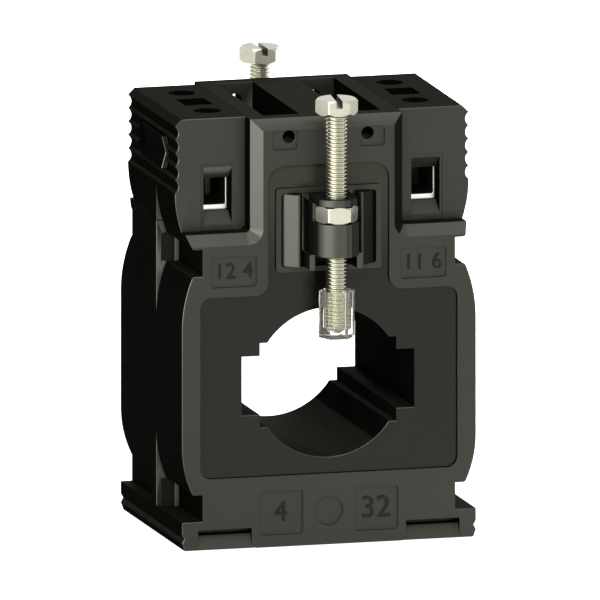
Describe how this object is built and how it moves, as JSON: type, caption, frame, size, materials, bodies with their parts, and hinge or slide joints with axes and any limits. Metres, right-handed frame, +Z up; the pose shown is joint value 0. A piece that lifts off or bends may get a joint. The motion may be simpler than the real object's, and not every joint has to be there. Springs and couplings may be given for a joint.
{
  "type": "window type current transformer",
  "caption": "Window-type current transformer: moulded two-part casing with a stepped conductor window, ribbed terminal covers and long fixing screws with clear caps.",
  "frame": {"origin": "middle of the base, on its underside, in the plane where the casing's halves join", "axes": "+X to the right across the front, +Y through the window from front to rear, +Z up"},
  "size_m": [0.056, 0.0616, 0.0844],
  "materials": {
    "casing_black": "fine moulded texture, polished panel",
    "cover_black": "fine moulded texture",
    "holder_black": "satin moulded",
    "core_steel": "cold rolled strip",
    "wrap_film": "polyester film",
    "winding_copper": "enamelled copper wire",
    "tape_yellow": "polyester tape",
    "lead_sleeve": "insulated copper wire",
    "terminal_nickel": "nickel plated",
    "clamp_zinc": "zinc plated",
    "screw_nickel": "nickel plated, bright",
    "cap_clear": "clear moulded"
  },
  "bodies": {
    "casing": {"front_case": "casing_black", "rear_case": "casing_black", "ring_core": "core_steel", "core_wrap": "wrap_film", "secondary_winding": "winding_copper", "winding_tape": "tape_yellow", "right_lead": "lead_sleeve", "left_lead": "lead_sleeve", "right_terminal_bar": "terminal_nickel", "left_terminal_bar": "terminal_nickel", "front_screw_holder": "holder_black", "rear_screw_holder": "holder_black", "front_nut": "screw_nickel", "rear_nut": "screw_nickel"},
    "right_cover": {"right_terminal_cover": "cover_black"},
    "left_cover": {"left_terminal_cover": "cover_black"},
    "right_front_clamp": {"right_front_cage": "clamp_zinc"},
    "right_front_screw": {"right_front_clamp_screw": "screw_nickel"},
    "right_rear_clamp": {"right_rear_cage": "clamp_zinc"},
    "right_rear_screw": {"right_rear_clamp_screw": "screw_nickel"},
    "left_front_clamp": {"left_front_cage": "clamp_zinc"},
    "left_front_screw": {"left_front_clamp_screw": "screw_nickel"},
    "left_rear_clamp": {"left_rear_cage": "clamp_zinc"},
    "left_rear_screw": {"left_rear_clamp_screw": "screw_nickel"},
    "front_tip": {"front_screw_cap": "cap_clear"},
    "front_fixing": {"front_fixing_screw": "screw_nickel"},
    "rear_tip": {"rear_screw_cap": "cap_clear"},
    "rear_fixing": {"rear_fixing_screw": "screw_nickel"}
  },
  "joints": [
    {"name": "right_cover_lift", "type": "slide", "parent": "casing", "child": "right_cover", "axis": [0, 0, 1], "range_m": [0, 0.022]},
    {"name": "left_cover_lift", "type": "slide", "parent": "casing", "child": "left_cover", "axis": [0, 0, 1], "range_m": [0, 0.022]},
    {"name": "right_front_screw_turn", "type": "hinge", "parent": "casing", "child": "right_front_screw", "pos_m": [0.0198, -0.0089, 0.074], "axis": [0, 0, -1], "range_deg": [0, 3600.1]},
    {"name": "right_front_clamp_rise", "type": "slide", "parent": "casing", "child": "right_front_clamp", "axis": [0, 0, 1], "range_m": [0, 0.005]},
    {"name": "right_rear_screw_turn", "type": "hinge", "parent": "casing", "child": "right_rear_screw", "pos_m": [0.0198, 0.0089, 0.074], "axis": [0, 0, -1], "range_deg": [0, 3600.1]},
    {"name": "right_rear_clamp_rise", "type": "slide", "parent": "casing", "child": "right_rear_clamp", "axis": [0, 0, 1], "range_m": [0, 0.005]},
    {"name": "left_front_screw_turn", "type": "hinge", "parent": "casing", "child": "left_front_screw", "pos_m": [-0.0198, -0.0089, 0.074], "axis": [0, 0, -1], "range_deg": [0, 3600.1]},
    {"name": "left_front_clamp_rise", "type": "slide", "parent": "casing", "child": "left_front_clamp", "axis": [0, 0, 1], "range_m": [0, 0.005]},
    {"name": "left_rear_screw_turn", "type": "hinge", "parent": "casing", "child": "left_rear_screw", "pos_m": [-0.0198, 0.0089, 0.074], "axis": [0, 0, -1], "range_deg": [0, 3600.1]},
    {"name": "left_rear_clamp_rise", "type": "slide", "parent": "casing", "child": "left_rear_clamp", "axis": [0, 0, 1], "range_m": [0, 0.005]},
    {"name": "front_fixing_travel", "type": "slide", "parent": "casing", "child": "front_tip", "axis": [0, 0, 1], "range_m": [-0.0155, 0.0065]},
    {"name": "front_fixing_turn", "type": "hinge", "parent": "front_tip", "child": "front_fixing", "pos_m": [0, -0.0267, 0.06], "axis": [0, 0, 1], "range_deg": [-7971.5, 3342.9]},
    {"name": "rear_fixing_travel", "type": "slide", "parent": "casing", "child": "rear_tip", "axis": [0, 0, 1], "range_m": [-0.0155, 0.0065]},
    {"name": "rear_fixing_turn", "type": "hinge", "parent": "rear_tip", "child": "rear_fixing", "pos_m": [0, 0.0267, 0.06], "axis": [0, 0, 1], "range_deg": [-7971.5, 3342.9]}
  ],
  "couplings": [
    {"joint": "right_front_screw_turn", "follows": "right_front_clamp_rise", "rad_per_m": 12566},
    {"joint": "right_rear_screw_turn", "follows": "right_rear_clamp_rise", "rad_per_m": 12566},
    {"joint": "left_front_screw_turn", "follows": "left_front_clamp_rise", "rad_per_m": 12566},
    {"joint": "left_rear_screw_turn", "follows": "left_rear_clamp_rise", "rad_per_m": 12566},
    {"joint": "front_fixing_turn", "follows": "front_fixing_travel", "rad_per_m": 8976},
    {"joint": "rear_fixing_turn", "follows": "rear_fixing_travel", "rad_per_m": 8976}
  ]
}
